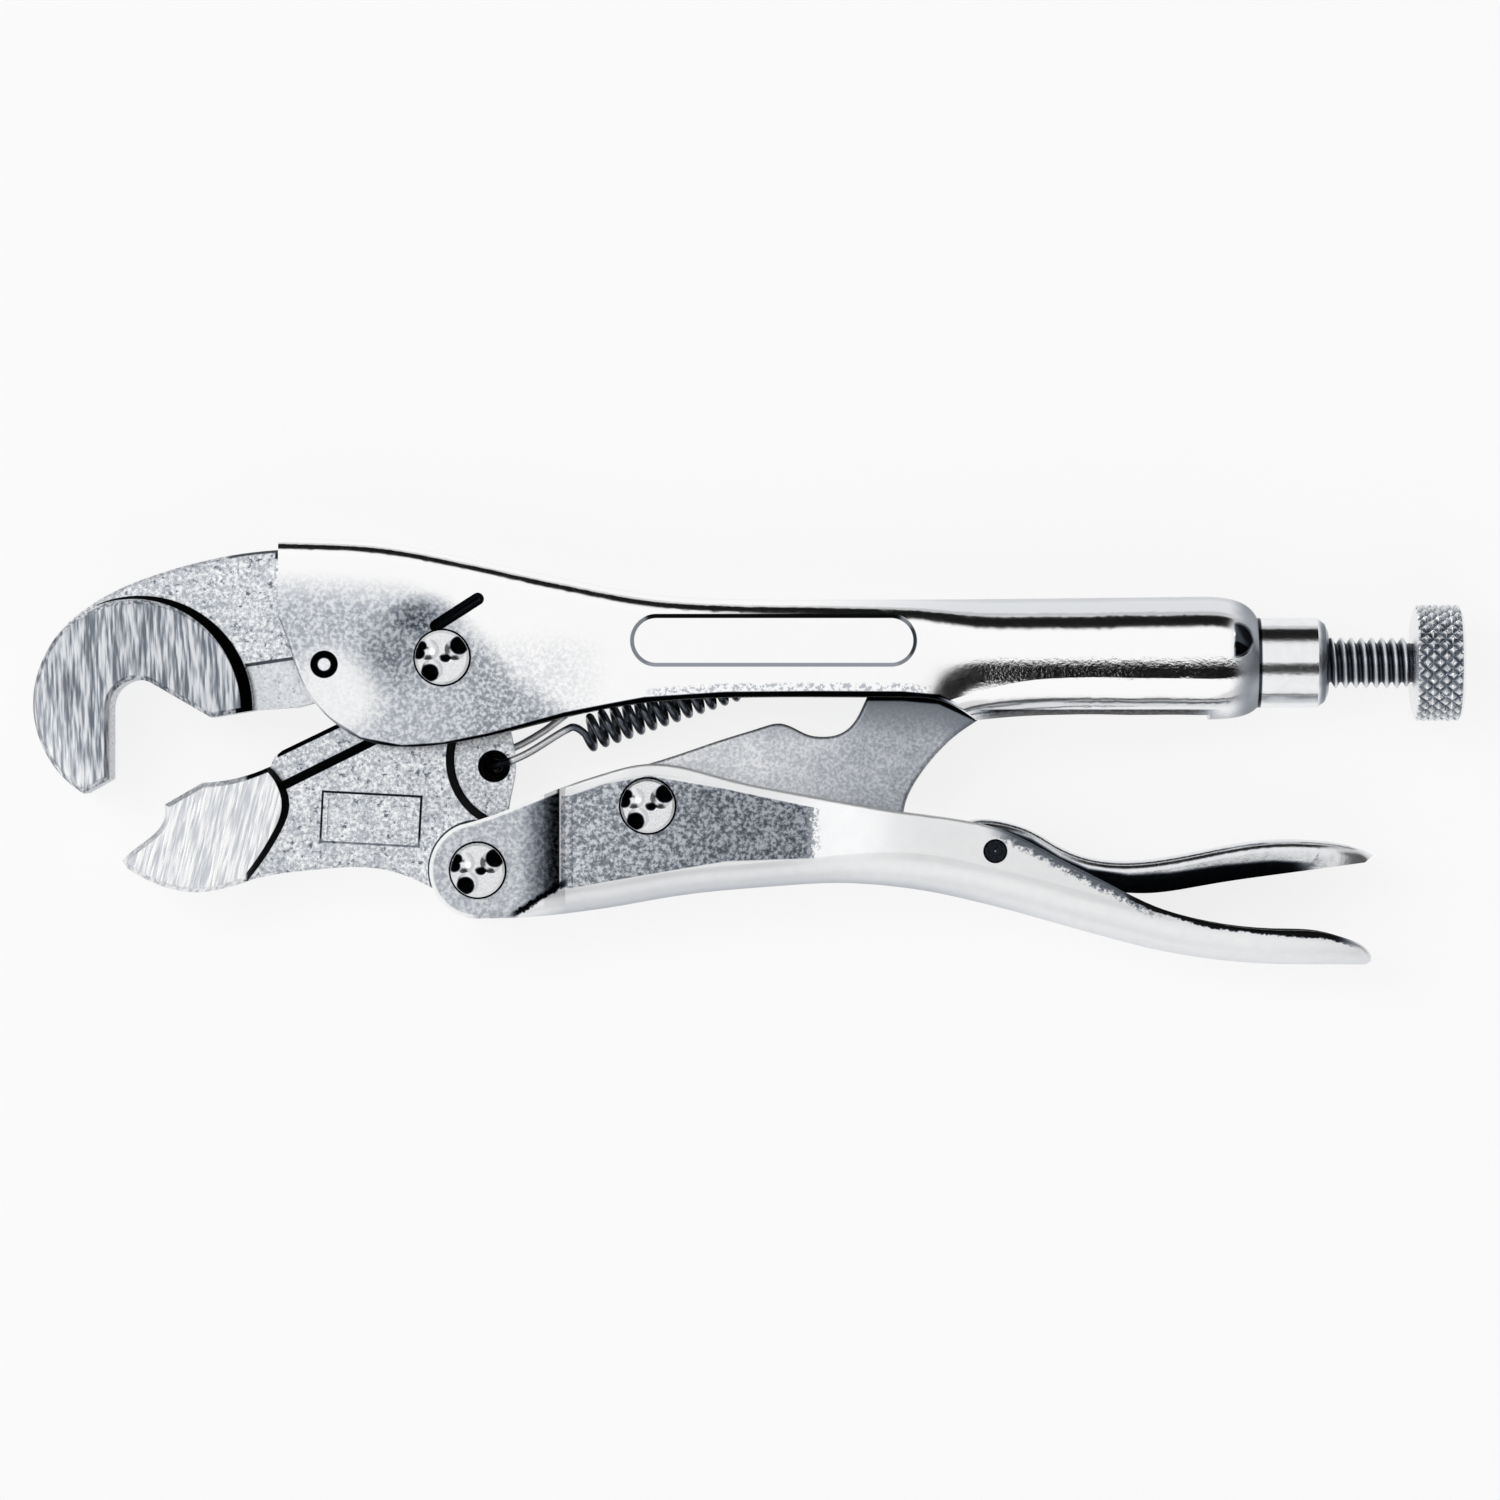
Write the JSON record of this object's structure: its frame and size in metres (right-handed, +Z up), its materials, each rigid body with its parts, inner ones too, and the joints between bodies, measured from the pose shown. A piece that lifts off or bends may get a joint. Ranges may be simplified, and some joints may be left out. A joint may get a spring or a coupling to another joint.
{
  "type": "locking pliers",
  "caption": "Locking pliers with hexagon hook jaws, pressed channel handles, an over-centre toggle link, an adjusting screw with a knurled knob and a release lever.",
  "frame": {"origin": "on the jaw pivot's axis, on the face of its lower rivet head, which is the plane the tool lies on", "axes": "+X from the jaws to the adjusting knob, +Y from the lower handle to the upper handle, +Z up from the table"},
  "size_m": [0.1774, 0.053, 0.0145],
  "materials": {
    "handle_plate": "bright nickel plate over pressed steel",
    "jaw_steel": "satin plated forging with ground jaw faces",
    "link_steel": "satin plated forging, fine grain",
    "lever_plate": "bright nickel plate over pressed steel",
    "rivet_plate": "bright plate, staked heads",
    "pin_steel": "plain drawn steel",
    "spring_wire": "dark drawn spring wire",
    "screw_steel": "dark rolled thread",
    "collar_plate": "bright plate, turned",
    "knob_plate": "bright plate, diamond knurled rim"
  },
  "bodies": {
    "upper_frame": {"upper_handle": "handle_plate", "upper_jaw": "jaw_steel", "upper_jaw_pin": "pin_steel", "jaw_pivot_rivet": "rivet_plate", "spring_anchor_clip": "pin_steel", "tension_spring": "spring_wire", "screw_bushing": "collar_plate"},
    "moving_jaw": {"lower_jaw": "jaw_steel"},
    "moving_handle": {"lower_handle": "handle_plate", "handle_pivot_rivet": "rivet_plate", "link_pivot_rivet": "rivet_plate", "release_lever_pin": "pin_steel"},
    "link": {"toggle_link": "link_steel"},
    "lever": {"release_lever": "lever_plate"},
    "screw_point": {"screw_tip": "screw_steel"},
    "screw": {"adjusting_screw": "screw_steel", "knurled_knob": "knob_plate"}
  },
  "joints": [
    {"name": "jaw_pivot", "type": "hinge", "parent": "upper_frame", "child": "moving_jaw", "pos_m": [0, 0, 0.00725], "axis": [0, 0, 1], "range_deg": [0, 10], "deforming": ["tension_spring"]},
    {"name": "handle_pivot", "type": "hinge", "parent": "moving_jaw", "child": "moving_handle", "pos_m": [0.0044, -0.0263, 0.00725], "axis": [0, 0, 1], "range_deg": [-41, 0]},
    {"name": "link_pivot", "type": "hinge", "parent": "moving_handle", "child": "link", "pos_m": [0.0254, -0.01835, 0.00725], "axis": [0, 0, 1], "range_deg": [0, 46.5]},
    {"name": "lever_pivot", "type": "hinge", "parent": "moving_handle", "child": "lever", "pos_m": [0.0684, -0.02395, 0.00725], "axis": [0, 0, 1], "range_deg": [-8, 0]},
    {"name": "screw_travel", "type": "slide", "parent": "upper_frame", "child": "screw_point", "axis": [1, 0, 0], "range_m": [-0.0009, 0.00801]},
    {"name": "screw_turn", "type": "hinge", "parent": "screw_point", "child": "screw", "pos_m": [0.1, -0.0006, 0.00725], "axis": [1, 0, 0], "range_deg": [-255, 2268]}
  ],
  "couplings": [
    {"joint": "jaw_pivot", "follows": "handle_pivot", "ratio": -0.2439},
    {"joint": "link_pivot", "follows": "handle_pivot", "ratio": -1.1341},
    {"joint": "screw_travel", "follows": "screw_turn", "m_per_rad": 0.00020213}
  ]
}
